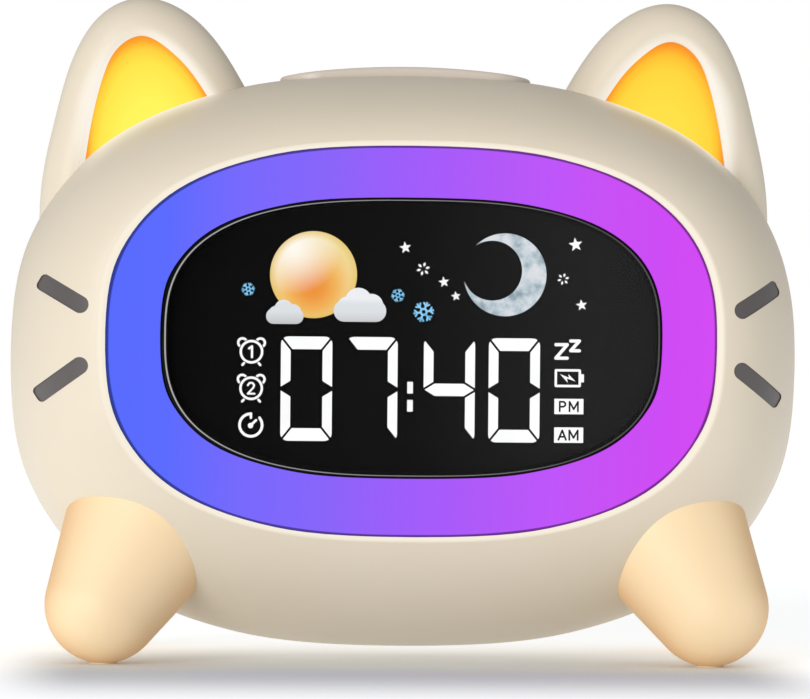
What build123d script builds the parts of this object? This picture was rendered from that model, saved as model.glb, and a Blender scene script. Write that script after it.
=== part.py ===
from build123d import *
import math
import os

# Kids' alarm clock with night light: a cat-shaped clock with a lit ring around the
# display, glowing ears, a snooze bar on the crown and four push buttons at the back.
# Millimetres, +Z up, front towards -Y, +X to the right of someone facing the clock,
# origin on the table below the middle of the clock.

# ---- driving dimensions --------------------------------------------------------------

# case: two moulded half shells that meet at y = 0, where the case is widest
case_half_width = 75.0
case_half_height = 54.55
case_above_table = 2.15
case_exponent = 2.5
case_front_depth = 36.0
case_back_depth = 36.0
back_in_from_side = 25.0
back_in_from_crown = 20.55
wall = 2.2
front_rim = 0.9
profile_end_angle = 80.0
seam_lip_depth = 2.0
seam_lip_clearance = 0.1

# light ring and display window, both centred on the face
bezel_side = 18.5
bezel_crown = 18.55
ring_exponent = 2.6
ring_above_centre = 3.7
ring_recess = 0.4
ring_flange = 1.3
ring_flange_thickness = 1.6
ring_clearance = 0.25
opening_chamfer = 0.6
ring_band = 10.2
lens_exponent = 2.75
lens_above_ring = 0.6
lens_gap = 0.3
lens_thickness = 2.0
lens_proud = 0.3
lens_chamfer = 0.3
mask_gap = 0.1
mask_thickness = 0.5
mask_margin = 1.2

# reflector tray, display housing and their boards
reflector_depth = 8.0
tray_wall = 1.5
tray_floor = 1.6
ring_board_thickness = 1.2
ring_led_count = 16
ring_led_size = 3.5
led_size = 5.0
led_height = 1.6
housing_wall = 3.0
housing_flange = 5.5
housing_flange_thickness = 1.6
housing_rib_x = 24.6
housing_rib_thickness = 1.2
display_led_columns = 8
display_led_rows = 4
display_led_pitch_x = 9.7
display_led_pitch_z = 10.0
display_led_size = (2.8, 1.2, 2.0)
board_thickness = 1.6
tab_out_from_ring = 6.5
tab_spacing_z = 20.0
tab_radius = 3.0

# seven-segment digits
digit_width = 9.5
digit_height = 19.3
digit_drop = 9.5
digit_places = (-19.5, -7.4, 6.95, 19.0)
digit_corner = 1.4
stroke_across = 2.2
stroke_up = 2.75
middle_half = 1.35
segment_gap = 0.4
colon_x = -0.3
icon_stroke = 0.45
letter_stroke = 0.34
letter_z_stroke = 0.6

# ears
ear_thickness = 16.0
ear_rim_radius = 6.5
ear_recess = 3.6
ear_panel_thickness = 1.6
ear_ledge = 0.8
ear_floor = 2.0
ear_back_wall = 2.0
ear_lip_radius = 1.2
ear_in_from_side = 26.0
ear_neck_radius = 5.0
ear_neck_bore = 2.5
ear_flange_radius = 7.0
ear_flange_thickness = 1.5
ear_board_width = 8.0
ear_board_height = 5.0
ear_board_gap = 0.3

# legs: rounded cones that splay outwards and forwards, and a slimmer pair backwards
front_leg_in_from_side = 18.35
front_leg_tip_radius = 11.0
front_leg_taper = 13.8
front_leg_peg_end = 14.1
rear_leg_in_from_side = 15.0
rear_leg_tip_radius = 8.2
rear_leg_taper = 10.0
rear_leg_peg_end = 18.0
leg_tip_y = 26.2
leg_lean_in = 0.438
leg_lean_up = 0.812
leg_length = 24.0
leg_peg_radius = 4.0
leg_peg_clearance = 0.1
leg_pilot_start = 2.0
leg_screw_grip = 1.2
sole_cut = 0.3
pad_radius = 2.6
pad_thickness = 1.2

# whiskers
whisker_width = 3.2
whisker_recess = 0.25
whisker_thickness = 0.8
whisker_ends = (((5.8, 10.9), (13.6, 6.3)), ((5.4, -10.9), (13.6, -5.0)))

# snooze bar and its switch
bar_length = 48.0
bar_width = 16.0
bar_above_crown = 1.45
bar_end_drop = 1.9
bar_wall = 1.8
bar_clearance = 0.35
bar_flange = 2.0
bar_flange_below_crown = 6.65
bar_flange_thickness = 1.5
bar_edge_radius = 0.7
bar_rib_thickness = 1.2
bar_travel = 0.5
shelf_below_crown = 14.85
shelf_thickness = 1.8
snooze_board_length = 44.0
snooze_board_depth = 14.0
snooze_board_y = 2.0
snooze_screw_y = 5.0

# tact switches, used under the snooze bar and under the back buttons
switch_size = 6.0
switch_height = 3.4
plunger_radius = 1.7
plunger_clearance = 0.05
plunger_length = 2.0
plunger_sunk = 0.8
plunger_spare = 0.3
button_travel = 0.5

# back: buttons, main board, charging socket, speaker
button_radius = 4.5
button_clearance = 0.3
button_proud = 1.2
button_flange = 1.3
button_flange_thickness = 1.4
button_post_radius = 1.5
button_pitch = 18.0
buttons_above_centre = 20.7
button_names = ("set", "down", "up", "light")
main_board_y = 22.0
main_board_width = 88.0
main_board_height = 30.0
main_board_above_centre = 19.7
board_screw_margin = 4.0
board_chip_places = (
    ((8, 18), 1.2, (-1, 9)),
    ((-22, -16), 1.5, (-1, 4)),
    ((24, 32), 2.5, (-7, -4)),
    ((-14, -6), 4.5, (-4, 1)),
    ((-4, 4), 4.5, (-13, -9)),
)
socket_width = 9.0
socket_height = 3.3
socket_wall = 0.35
socket_clearance = 0.3
socket_recess = 1.0
socket_above_centre = 9.2
speaker_radius = 14.0
speaker_below_centre = 16.3
speaker_rim_thickness = 2.0
speaker_magnet_radius = 8.5
speaker_collar_wall = 1.5
speaker_collar_height = 3.0
speaker_fit = 0.1
grille_hole_radius = 0.8
grille_pitch = 3.2

# battery
battery_width = 52.0
battery_height = 34.0
battery_thickness = 9.0
battery_corner = 2.0
battery_tape = 0.8
battery_tape_margin = 4.0
lead_radius = 0.65

# screws
screw_radius = 1.1
screw_hole = 1.15
screw_head_radius = 2.3
screw_head_height = 1.4
case_screw_radius = 1.4
case_screw_head_radius = 2.8
case_screw_head_height = 2.0
case_screw_in_from_side = 15.0
case_screw_spacing_z = 32.0
case_boss_radius = 4.2
case_boss_depth = 18.0
case_screw_shelf = 6.0

# ---- places that follow from the dimensions above ------------------------------------

case_centre_z = case_above_table + case_half_height
crown_z = case_centre_z + case_half_height
back_half_width = case_half_width - back_in_from_side
back_half_height = case_half_height - back_in_from_crown
ring_half_width = case_half_width - bezel_side
ring_half_height = case_half_height - bezel_crown
ring_centre_z = case_centre_z + ring_above_centre
lens_half_width = ring_half_width - ring_band
lens_half_height = ring_half_height - ring_band
lens_centre_z = ring_centre_z + lens_above_ring
tab_x = ring_half_width + tab_out_from_ring
ear_root_x = case_half_width - ear_in_from_side
front_leg_tip_x = case_half_width - front_leg_in_from_side
rear_leg_tip_x = case_half_width - rear_leg_in_from_side
case_screw_x = case_half_width - case_screw_in_from_side
bar_crown_z = crown_z + bar_above_crown
bar_flange_z = crown_z - bar_flange_below_crown
shelf_top_z = crown_z - shelf_below_crown
button_z = case_centre_z + buttons_above_centre
main_board_z = case_centre_z + main_board_above_centre
socket_z = case_centre_z + socket_above_centre
speaker_z = case_centre_z - speaker_below_centre
face_y = -case_front_depth
back_y = case_back_depth
opening_half_width = ring_half_width + ring_clearance
opening_half_height = ring_half_height + ring_clearance
face_half_width = opening_half_width + front_rim
face_half_height = opening_half_height + front_rim
ring_front_y = face_y + ring_recess
ring_seat_y = face_y + wall
ring_back_y = ring_seat_y + ring_flange_thickness
tray_back_y = ring_back_y + reflector_depth
tray_floor_y = tray_back_y - tray_floor
lens_front_y = face_y - lens_proud
lens_back_y = lens_front_y + lens_thickness
mask_front_y = lens_back_y + mask_gap
mask_back_y = mask_front_y + mask_thickness
flange_back_y = tray_back_y + housing_flange_thickness
display_board_back_y = flange_back_y + board_thickness
back_inner_y = back_y - wall
main_board_back_y = main_board_y + board_thickness
switch_top_y = main_board_back_y + switch_height
plunger_end_y = switch_top_y - plunger_sunk + plunger_length
snooze_board_top_z = shelf_top_z + board_thickness
snooze_switch_top_z = snooze_board_top_z + switch_height
snooze_plunger_end_z = snooze_switch_top_z - plunger_sunk + plunger_length


# ---- shapes shared by several pieces -------------------------------------------------

def front_plane(y):
    """A drawing plane at depth y, seen from the front: x to the right, z upwards."""
    return Plane(origin=(0, y, 0), x_dir=(1, 0, 0), z_dir=(0, -1, 0))


def superellipse(half_width, half_height, exponent, centre_z, count=24):
    """A closed rounded-rectangle outline drawn in (x, z)."""
    points = []
    for step in range(count):
        angle = 2 * math.pi * (step + 0.5) / count
        c = math.cos(angle)
        s = math.sin(angle)
        x = half_width * math.copysign(abs(c) ** (2 / exponent), c)
        z = half_height * math.copysign(abs(s) ** (2 / exponent), s)
        points.append((x, centre_z + z))
    evenly = [step / count for step in range(count + 1)]
    return make_face(Edge.make_spline(points, periodic=True, parameters=evenly))


def slab(profile, front_y, back_y_end):
    """The profile, drawn in (x, z), as a plate from front_y back to back_y_end."""
    return extrude(front_plane(back_y_end) * profile, amount=back_y_end - front_y)


def ring_shape(margin):
    return superellipse(ring_half_width + margin, ring_half_height + margin, ring_exponent, ring_centre_z)


def lens_shape(margin):
    return superellipse(lens_half_width + margin, lens_half_height + margin, lens_exponent, lens_centre_z)


def rod_y(x, z, radius, front_y, back_y_end):
    """A round bar along Y at (x, z)."""
    return slab(Pos(x, z) * Circle(radius), front_y, back_y_end)


def rod_z(x, y, radius, low_z, high_z):
    """A round bar along Z at (x, y)."""
    return Pos(x, y, low_z) * extrude(Circle(radius), amount=high_z - low_z)


def block(x_range, y_range, z_range):
    """A box given by its lowest and highest values on each axis."""
    spans = [high - low for low, high in (x_range, y_range, z_range)]
    centre = [(low + high) / 2 for low, high in (x_range, y_range, z_range)]
    return Pos(*centre) * Box(*spans)


def mirrored(shape, plane=Plane.YZ):
    return mirror(shape, about=plane)


def both_sides(x, z_places):
    return [(side * x, z) for side in (-1, 1) for z in z_places]


def case_form(inset):
    """The case as one closed pillow, its surface moved inwards by inset (outwards if negative)."""
    end = math.radians(profile_end_angle)
    sections = []
    for step in range(-4, 5):
        angle = end * step / 4
        share = (math.cos(angle) - math.cos(end)) / (1 - math.cos(end))
        if step < 0:
            depth = case_front_depth
            end_width = face_half_width + 0.4 * inset
            end_height = face_half_height + 0.4 * inset
            end_z = ring_centre_z
            exponent = ring_exponent + (case_exponent - ring_exponent) * share
        else:
            depth = case_back_depth
            end_width = back_half_width - 0.3 * inset
            end_height = back_half_height - 0.3 * inset
            end_z = case_centre_z
            exponent = case_exponent
        y = (depth - inset) * math.sin(angle) / math.sin(end)
        half_width = end_width + (case_half_width - inset - end_width) * share
        half_height = end_height + (case_half_height - inset - end_height) * share
        centre_z = end_z + (case_centre_z - end_z) * share
        sections.append(front_plane(y) * superellipse(half_width, half_height, exponent, centre_z))
    return loft(sections)


def case_height_at(x):
    """Height of the case's crown above the table at x, at the seam."""
    share = (1 - (abs(x) / case_half_width) ** case_exponent) ** (1 / case_exponent)
    return case_centre_z + case_half_height * share


case_outer = case_form(0)
case_inner = case_form(wall)
front_half = block((-100, 100), (-100, 0), (-20, 160))
rear_half = block((-100, 100), (0, 100), (-20, 160))


# ---- ears ----------------------------------------------------------------------------

ear_root_z = case_height_at(ear_root_x)
ear_place = Pos(-ear_root_x, ear_root_z)


def ear_outline():
    """Outer outline of the left ear in (x, z); the flat lower side ends inside the case."""
    sides = Spline(
        (-20.6, -23.36), (-19.9, -9.36), (-17.9, -0.16), (-13.6, 13.54), (-8.0, 20.64), (-1.4, 22.89),
        (6.0, 20.74), (14.8, 11.74), (23.0, -2.36),
    )
    return ear_place * make_face(sides + Line(sides @ 1, sides @ 0))


def ear_panel_outline(margin=0.0):
    """Outline of the lit panel inside the left ear, grown by margin (shrunk if negative)."""
    sides = Spline(
        (-13.5, -19.36), (-12.0, -7.86), (-9.0, 7.0), (-6.2, 12.9), (-2.6, 15.39),
        (1.8, 14.1), (7.9, 8.6), (16.9, -4.36),
    )
    points = []
    for step in range(13):
        run = sides % (step / 12)
        points.append(sides @ (step / 12) - margin * Vector(run.Y, -run.X))
    grown = Spline(*points)
    return ear_place * make_face(grown + Line(grown @ 1, grown @ 0))


def ear_axis():
    """Plane on the case's surface under the left ear, its z along the neck, out of the case."""
    x = ear_root_x / case_half_width
    z = (ear_root_z - case_centre_z) / case_half_height
    outward = (
        -(x ** (case_exponent - 1)) / case_half_width,
        0,
        z ** (case_exponent - 1) / case_half_height,
    )
    return Plane(origin=(-ear_root_x, 0, ear_root_z), x_dir=(0, 1, 0), z_dir=outward)


def make_ear_lip():
    """The rounded edge of the opening in front of the panel, as the body that it cuts away."""
    sections = []
    for degrees in (0, 45, 90):
        angle = math.radians(degrees)
        depth = ear_lip_radius * (1 - math.cos(angle))
        margin = ear_lip_radius * (1 - math.sin(angle))
        sections.append(front_plane(ear_front_y + depth) * ear_panel_outline(margin))
    return [loft(sections), slab(ear_panel_outline(ear_lip_radius), ear_front_y - 1, ear_front_y)]


ear_front_y = -ear_thickness / 2
ear_panel_y = ear_front_y + ear_recess
ear_cavity_y = ear_panel_y + ear_panel_thickness
ear_inner_back_y = ear_thickness / 2 - ear_back_wall
ear_board_low_z = case_height_at(ear_root_x - ear_board_width / 2) + ear_floor + ear_board_gap
ear_board_z = ear_board_low_z + ear_board_height / 2


def make_ear_shell():
    blank = slab(ear_outline(), ear_front_y, ear_thickness / 2)
    rims = blank.edges().filter_by(GeomType.BSPLINE)
    ear = fillet(rims, ear_rim_radius)
    recess = slab(ear_panel_outline(), ear_front_y - 1, ear_cavity_y) - case_outer
    hollow = slab(ear_panel_outline(-ear_ledge), ear_cavity_y, ear_inner_back_y)
    ear -= hollow - case_form(-ear_floor)
    ear -= case_outer
    neck_length = wall + 1.0 + ear_flange_thickness
    neck = ear_axis() * Pos(0, 0, -neck_length) * extrude(Circle(ear_neck_radius), amount=neck_length + 1)
    flange = ear_axis() * Pos(0, 0, -neck_length) * extrude(
        Circle(ear_flange_radius), amount=ear_flange_thickness
    )
    bore = ear_axis() * Pos(0, 0, -neck_length - 1) * extrude(Circle(ear_neck_bore), amount=neck_length + 6)
    return ear + neck + flange - bore - recess - make_ear_lip()


def make_ear_panel():
    return slab(ear_panel_outline(), ear_panel_y, ear_cavity_y) - case_outer


def make_ear_board():
    half = ear_board_width / 2
    y_range = (ear_inner_back_y - ring_board_thickness, ear_inner_back_y)
    z_range = (ear_board_low_z, ear_board_low_z + ear_board_height)
    return block((-ear_root_x - half, -ear_root_x + half), y_range, z_range)


def make_ear_led():
    half = led_size / 2
    front_y = ear_inner_back_y - ring_board_thickness - led_height
    x_range = (-ear_root_x - half, -ear_root_x + half)
    return block(x_range, (front_y, front_y + led_height), (ear_board_z - half, ear_board_z + half))


# ---- legs ----------------------------------------------------------------------------

def leg_plane(front=True):
    """Plane at the centre of the left leg's tip, its z along the leg, up into the case."""
    lean_back = math.sqrt(1 - leg_lean_in ** 2 - leg_lean_up ** 2)
    side = 1 if front else -1
    tip_x = front_leg_tip_x if front else rear_leg_tip_x
    tip_radius = front_leg_tip_radius if front else rear_leg_tip_radius
    return Plane(
        origin=(-tip_x, -side * leg_tip_y, tip_radius),
        x_dir=(leg_lean_up, 0, -leg_lean_in),
        z_dir=(leg_lean_in, side * lean_back, leg_lean_up),
    )


def leg_rod(radius, start, end, front=True):
    """A round bar along the left leg's axis."""
    return leg_plane(front) * Pos(0, 0, start) * extrude(Circle(radius), amount=end - start)


def leg_cone(tip_radius, taper_degrees):
    """A cone that runs smoothly into its round tip, standing on the tip along Z."""
    taper = math.radians(taper_degrees)
    tip = CenterArc((0, 0), tip_radius, -90, 90 - taper_degrees)
    top_radius = (tip_radius + leg_length * math.sin(taper)) / math.cos(taper)
    outline = tip + Polyline(tip @ 1, (top_radius, leg_length), (0, leg_length), (0, -tip_radius))
    return revolve(Plane.XZ * make_face(outline), Axis.Z)


def leg_peg_end(front=True):
    return front_leg_peg_end if front else rear_leg_peg_end


def make_foot_pad(front=True):
    tip = leg_plane(front).origin
    return rod_z(tip.X, tip.Y, pad_radius, 0, pad_thickness)


def make_leg(front=True):
    if front:
        cone = leg_cone(front_leg_tip_radius, front_leg_taper)
    else:
        cone = leg_cone(rear_leg_tip_radius, rear_leg_taper)
    leg = leg_plane(front) * cone - case_outer
    sole = block((-100, 100), (-100, 100), (-10, sole_cut))
    peg = leg_rod(leg_peg_radius, 0, leg_peg_end(front), front)
    pilot = leg_rod(screw_hole, leg_pilot_start, leg_peg_end(front), front)
    return leg + peg - sole - make_foot_pad(front) - pilot


def make_leg_hole(front=True):
    hole = leg_rod(leg_peg_radius + leg_peg_clearance, 0, leg_peg_end(front) + 4, front)
    return [hole, mirrored(hole)]


def make_leg_screw(front=True):
    end = leg_peg_end(front)
    head = leg_rod(leg_peg_radius + leg_screw_grip, end, end + screw_head_height, front)
    return head + leg_rod(screw_radius, leg_pilot_start + 2, end, front)


def make_foot_pads():
    pads = [make_foot_pad(front) for front in (True, False)]
    return pads + [mirrored(pad) for pad in pads]


# ---- whiskers ------------------------------------------------------------------------

def whisker_outline(outer_end, inner_end):
    """A bar from outer_end to inner_end in (x, z), rounded at its inner end."""
    run = Vector(*inner_end) - Vector(*outer_end)
    angle = math.degrees(math.atan2(run.Y, run.X))
    bar = Pos(run.length / 2, 0) * Rectangle(run.length, whisker_width)
    bar = fillet(bar.vertices().group_by(Axis.X)[0], whisker_width * 0.3)
    tip = Pos(run.length, 0) * Circle(whisker_width / 2)
    return Pos(*outer_end) * Rot(0, 0, angle) * (bar + tip)


def whisker_prisms():
    """Bars through the front of the case, upper and lower, left side."""
    prisms = []
    for ends in whisker_ends:
        places = [(inwards - case_half_width, ring_centre_z + rise) for inwards, rise in ends]
        prisms.append(slab(whisker_outline(*places), face_y, -10))
    return prisms


case_at_whisker_face = case_form(whisker_recess)
case_at_whisker_floor = case_form(whisker_recess + whisker_thickness)


def make_whiskers():
    return [(prism & case_at_whisker_face) - case_at_whisker_floor for prism in whisker_prisms()]


def make_whisker_pockets():
    pockets = [prism - case_at_whisker_floor for prism in whisker_prisms()]
    return pockets + [mirrored(pocket) for pocket in pockets]


# ---- snooze bar ----------------------------------------------------------------------

def bar_stadium(margin):
    """The bar's outline seen from above, grown by margin all round."""
    return SlotOverall(bar_length + 2 * margin, bar_width + 2 * margin)


def make_snooze_bar():
    low_z = bar_flange_z
    end_x = bar_length / 2
    end_z = bar_crown_z - bar_end_drop
    arc = ThreePointArc((-end_x, end_z), (0, bar_crown_z), (end_x, end_z))
    sides = Polyline((end_x, end_z), (end_x, low_z), (-end_x, low_z), (-end_x, end_z))
    crown = slab(make_face(arc + sides), -bar_width, bar_width)
    bar = crown & (Pos(0, 0, low_z) * extrude(bar_stadium(0), amount=bar_crown_z - low_z + 1))
    top_edges = bar.edges().filter_by(lambda edge: edge.center().Z > (end_z + low_z) / 2)
    rim = top_edges.filter_by(lambda edge: edge.bounding_box().size.Z < bar_end_drop + 0.1)
    bar = fillet(rim, bar_edge_radius)
    pocket_top_z = end_z - bar_wall
    bar -= Pos(0, 0, low_z) * extrude(bar_stadium(-bar_wall), amount=pocket_top_z - low_z)
    flange = extrude(bar_stadium(bar_flange) - bar_stadium(-bar_wall), amount=bar_flange_thickness)
    post = rod_z(0, 0, button_post_radius, snooze_plunger_end_z, pocket_top_z + 0.5)
    half_rib = bar_rib_thickness / 2
    rib = block((-end_x + bar_wall, end_x - bar_wall), (-half_rib, half_rib), (low_z + 1, pocket_top_z))
    return bar + Pos(0, 0, low_z) * flange + post + rib


def make_bar_opening():
    return Pos(0, 0, bar_flange_z) * extrude(bar_stadium(bar_clearance), amount=bar_crown_z - bar_flange_z)


def make_snooze_board():
    half = snooze_board_length / 2
    y_range = (snooze_board_y - snooze_board_depth / 2, snooze_board_y + snooze_board_depth / 2)
    board = block((-half, half), y_range, (shelf_top_z, snooze_board_top_z))
    for x, y in snooze_board_screws():
        board -= rod_z(x, y, screw_hole, shelf_top_z - 1, snooze_board_top_z + 1)
    return board


def snooze_board_screws():
    return [(side * (snooze_board_length / 2 - board_screw_margin), snooze_screw_y) for side in (-1, 1)]


def make_snooze_switch():
    half = switch_size / 2
    body = block((-half, half), (-half, half), (snooze_board_top_z, snooze_switch_top_z))
    floor_z = snooze_plunger_end_z - plunger_length - bar_travel - plunger_spare
    return body - rod_z(0, 0, plunger_radius + plunger_clearance, floor_z, snooze_switch_top_z + 1)


def make_snooze_plunger():
    return rod_z(0, 0, plunger_radius, snooze_plunger_end_z - plunger_length, snooze_plunger_end_z)


def make_shelf():
    """Shelf inside the rear shell that carries the snooze switch's board, and its screw holes."""
    half = snooze_board_length / 2
    shelf = block((-half, half), (0.5, back_y), (shelf_top_z - shelf_thickness, shelf_top_z))
    holes = []
    for x, y in snooze_board_screws():
        shelf += rod_z(x, y, screw_head_radius, shelf_top_z - 5, shelf_top_z)
        holes.append(rod_z(x, y, screw_hole, shelf_top_z - 4, shelf_top_z + 1))
    return shelf, holes


# ---- screws and their bosses ---------------------------------------------------------

def screw_y(x, z, seat_y, length, direction=1):
    """A small screw along Y; its head lies on seat_y and its shank runs in direction."""
    if direction > 0:
        head = rod_y(x, z, screw_head_radius, seat_y - screw_head_height, seat_y)
        return head + rod_y(x, z, screw_radius, seat_y, seat_y + length)
    head = rod_y(x, z, screw_head_radius, seat_y, seat_y + screw_head_height)
    return head + rod_y(x, z, screw_radius, seat_y - length, seat_y)


def tab_places():
    half = tab_spacing_z / 2
    return both_sides(tab_x, (ring_centre_z - half, ring_centre_z + half))


def display_screw_places():
    half_width = lens_half_width + housing_flange - screw_head_radius
    half_height = lens_half_height + housing_flange - screw_head_radius
    places = []
    for degrees in (38, 142, 218, 322):
        c = math.cos(math.radians(degrees))
        s = math.sin(math.radians(degrees))
        x = half_width * math.copysign(abs(c) ** (2 / lens_exponent), c)
        z = half_height * math.copysign(abs(s) ** (2 / lens_exponent), s)
        places.append((x, lens_centre_z + z))
    return places


def main_board_screw_places():
    half = main_board_height / 2 - board_screw_margin
    return both_sides(main_board_width / 2 - board_screw_margin, (main_board_z - half, main_board_z + half))


def case_screw_places():
    half = case_screw_spacing_z / 2
    return both_sides(case_screw_x, (case_centre_z - half, case_centre_z + half))


def make_board_screws():
    screws = [screw_y(x, z, tray_back_y, tray_floor + 4, -1) for x, z in tab_places()]
    clamped = board_thickness + housing_flange_thickness + tray_floor
    screws += [screw_y(x, z, display_board_back_y, clamped, -1) for x, z in display_screw_places()]
    screws += [screw_y(x, z, main_board_y, board_thickness + 5) for x, z in main_board_screw_places()]
    for x, y in snooze_board_screws():
        head = rod_z(x, y, screw_head_radius, snooze_board_top_z, snooze_board_top_z + screw_head_height)
        screws.append(head + rod_z(x, y, screw_radius, shelf_top_z - 4, snooze_board_top_z))
    return screws


def make_case_screws():
    screws = []
    for x, z in case_screw_places():
        head_end = case_screw_shelf + case_screw_head_height
        head = rod_y(x, z, case_screw_head_radius, case_screw_shelf, head_end)
        slot = block((x - 2, x + 2), (head_end - 0.8, head_end + 1), (z - 0.35, z + 0.35))
        cross = block((x - 0.35, x + 0.35), (head_end - 0.8, head_end + 1), (z - 2, z + 2))
        shank = rod_y(x, z, case_screw_radius, -10, case_screw_shelf)
        screws.append(head + shank - slot - cross)
    return screws


# ---- shells --------------------------------------------------------------------------

def seam_ring(outer_inset, inner_inset, depth):
    """A ring that follows the seam inside the case, reaching forwards from y = 0."""
    outer = superellipse(
        case_half_width - outer_inset, case_half_height - outer_inset, case_exponent, case_centre_z
    )
    inner = superellipse(
        case_half_width - inner_inset, case_half_height - inner_inset, case_exponent, case_centre_z
    )
    return slab(outer, -depth, 0) - slab(inner, -depth - 1, 1)


def make_ear_holes():
    hole = ear_axis() * Pos(0, 0, -wall - 3) * extrude(
        Circle(ear_neck_radius + seam_lip_clearance), amount=wall + 6
    )
    return [hole, mirrored(hole)]


def make_front_shell():
    bosses = [rod_y(x, z, tab_radius, face_y, tray_floor_y) for x, z in tab_places()]
    cuts = [rod_y(x, z, screw_hole, tray_floor_y - 5, tray_floor_y + 1) for x, z in tab_places()]
    for x, z in case_screw_places():
        side = math.copysign(1, x)
        edge = sorted((x, side * (case_half_width - wall / 2)))
        bosses.append(rod_y(x, z, case_boss_radius, -case_boss_depth, 0))
        bosses.append(block(edge, (-case_boss_depth, -seam_lip_depth - 1), (z - 0.8, z + 0.8)))
        cuts.append(rod_y(x, z, case_screw_radius + 0.05, -11, 1))
    cuts.append(slab(ring_shape(ring_clearance), face_y - 1, ring_seat_y + 1))
    cuts.append(make_opening_chamfer())
    cuts.append(seam_ring(wall / 2, wall + 1, seam_lip_depth + seam_lip_clearance) & seam_room())
    cuts += make_leg_hole(True) + make_ear_holes() + make_whisker_pockets() + [make_bar_opening()]
    shell = (case_outer & front_half) - case_inner
    return shell + (Part() + bosses & case_outer) - cuts


def make_opening_chamfer():
    """The bevel round the opening for the ring, as the body that it cuts away."""
    in_front = 0.5
    wide = ring_shape(ring_clearance + opening_chamfer + in_front)
    narrow = ring_shape(ring_clearance)
    return loft([front_plane(face_y - in_front) * wide, front_plane(face_y + opening_chamfer) * narrow])


def seam_room():
    """The stretch of the seam that its lip follows: all but the screw bosses' ribs."""
    room = block((-100, 100), (-10, 10), (-20, 160))
    return room - [rod_y(x, z, case_boss_radius + 0.4, -12, 12) for x, z in case_screw_places()]


def make_rear_shell():
    collar_radius = speaker_radius + speaker_fit
    collar_y = back_inner_y - speaker_collar_height
    shelf, shelf_cuts = make_shelf()
    bosses = [shelf, rod_y(0, speaker_z, collar_radius + speaker_collar_wall, collar_y, back_inner_y + 0.5)]
    cuts = [rod_y(0, speaker_z, collar_radius, collar_y - 1, back_inner_y)] + shelf_cuts
    for x, z in case_screw_places():
        bosses.append(rod_y(x, z, case_boss_radius, 0, back_y))
        cuts.append(rod_y(x, z, case_screw_head_radius + 0.3, case_screw_shelf, back_y + 1))
        cuts.append(rod_y(x, z, case_screw_radius + 0.2, -1, case_screw_shelf + 1))
    for x, z in main_board_screw_places():
        bosses.append(rod_y(x, z, screw_head_radius + 0.4, main_board_back_y, back_y))
        cuts.append(rod_y(x, z, screw_hole, main_board_back_y - 1, main_board_back_y + 5.2))
    for x in button_places():
        cuts.append(rod_y(x, button_z, button_radius + button_clearance, back_inner_y - 1, back_y + 1))
    socket_hole = SlotOverall(socket_width + 2 * socket_clearance, socket_height + 2 * socket_clearance)
    cuts.append(slab(Pos(0, socket_z) * socket_hole, back_inner_y - 1, back_y + 1))
    cuts += [rod_y(x, z, grille_hole_radius, back_inner_y - 1, back_y + 1) for x, z in grille_places()]
    cuts += make_leg_hole(False) + make_ear_holes() + [make_bar_opening()]
    shell = (case_outer & rear_half) - case_inner
    lip = seam_ring(wall / 2 + seam_lip_clearance, wall, seam_lip_depth) & seam_room()
    return shell + (Part() + bosses & case_outer) + lip - cuts


def grille_places():
    places = [(0, speaker_z)]
    for ring in (1, 2, 3):
        for step in range(6 * ring):
            angle = 2 * math.pi * step / (6 * ring)
            radius = ring * grille_pitch
            places.append((radius * math.cos(angle), speaker_z + radius * math.sin(angle)))
    return places


# ---- light ring and its reflector ----------------------------------------------------

def make_light_ring():
    plate = slab(ring_shape(0), ring_front_y, ring_back_y)
    plate += slab(ring_shape(ring_flange), ring_seat_y, ring_back_y)
    return plate - slab(lens_shape(lens_gap), ring_front_y - 1, ring_back_y + 1)


def make_ring_reflector():
    tray = slab(ring_shape(ring_flange), ring_back_y, tray_back_y)
    tray -= slab(ring_shape(ring_flange - tray_wall), ring_back_y - 1, tray_floor_y)
    inner_wall = slab(lens_shape(lens_gap + tray_wall), ring_back_y, tray_back_y)
    tray = tray + inner_wall - slab(lens_shape(lens_gap), ring_back_y - 1, tray_back_y + 1)
    for x, z in tab_places():
        side = math.copysign(1, x)
        root = side * (ring_half_width - 2)
        arm = block(sorted((root, x)), (tray_floor_y, tray_back_y), (z - tab_radius, z + tab_radius))
        tray += arm - slab(ring_shape(0), tray_floor_y - 1, tray_back_y + 1)
        tray += rod_y(x, z, tab_radius, tray_floor_y, tray_back_y)
        tray -= rod_y(x, z, screw_hole, tray_floor_y - 1, tray_back_y + 1)
    for x, z in display_screw_places():
        tray -= rod_y(x, z, screw_hole, tray_floor_y - 1, tray_back_y + 1)
    return tray


def make_ring_board():
    back_y = tray_floor_y - ring_board_thickness
    outer = slab(ring_shape(ring_flange - tray_wall - 0.3), back_y, tray_floor_y)
    return outer - slab(lens_shape(lens_gap + tray_wall + 0.3), ring_back_y, tray_back_y)


def make_ring_leds():
    half_width = (ring_half_width + lens_half_width + lens_gap) / 2
    half_height = (ring_half_height + lens_half_height + lens_gap) / 2
    back = tray_floor_y - ring_board_thickness
    half = ring_led_size / 2
    leds = []
    for step in range(ring_led_count):
        angle = 2 * math.pi * step / ring_led_count
        c = math.cos(angle)
        s = math.sin(angle)
        x = half_width * math.copysign(abs(c) ** (2 / ring_exponent), c)
        z = ring_centre_z + half_height * math.copysign(abs(s) ** (2 / ring_exponent), s)
        leds.append(block((x - half, x + half), (back - led_height, back), (z - half, z + half)))
    return leds


# ---- display -------------------------------------------------------------------------

def make_display_lens():
    lens = slab(lens_shape(0), lens_front_y, lens_back_y)
    return chamfer(lens.faces().sort_by(Axis.Y)[0].edges(), lens_chamfer)


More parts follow.
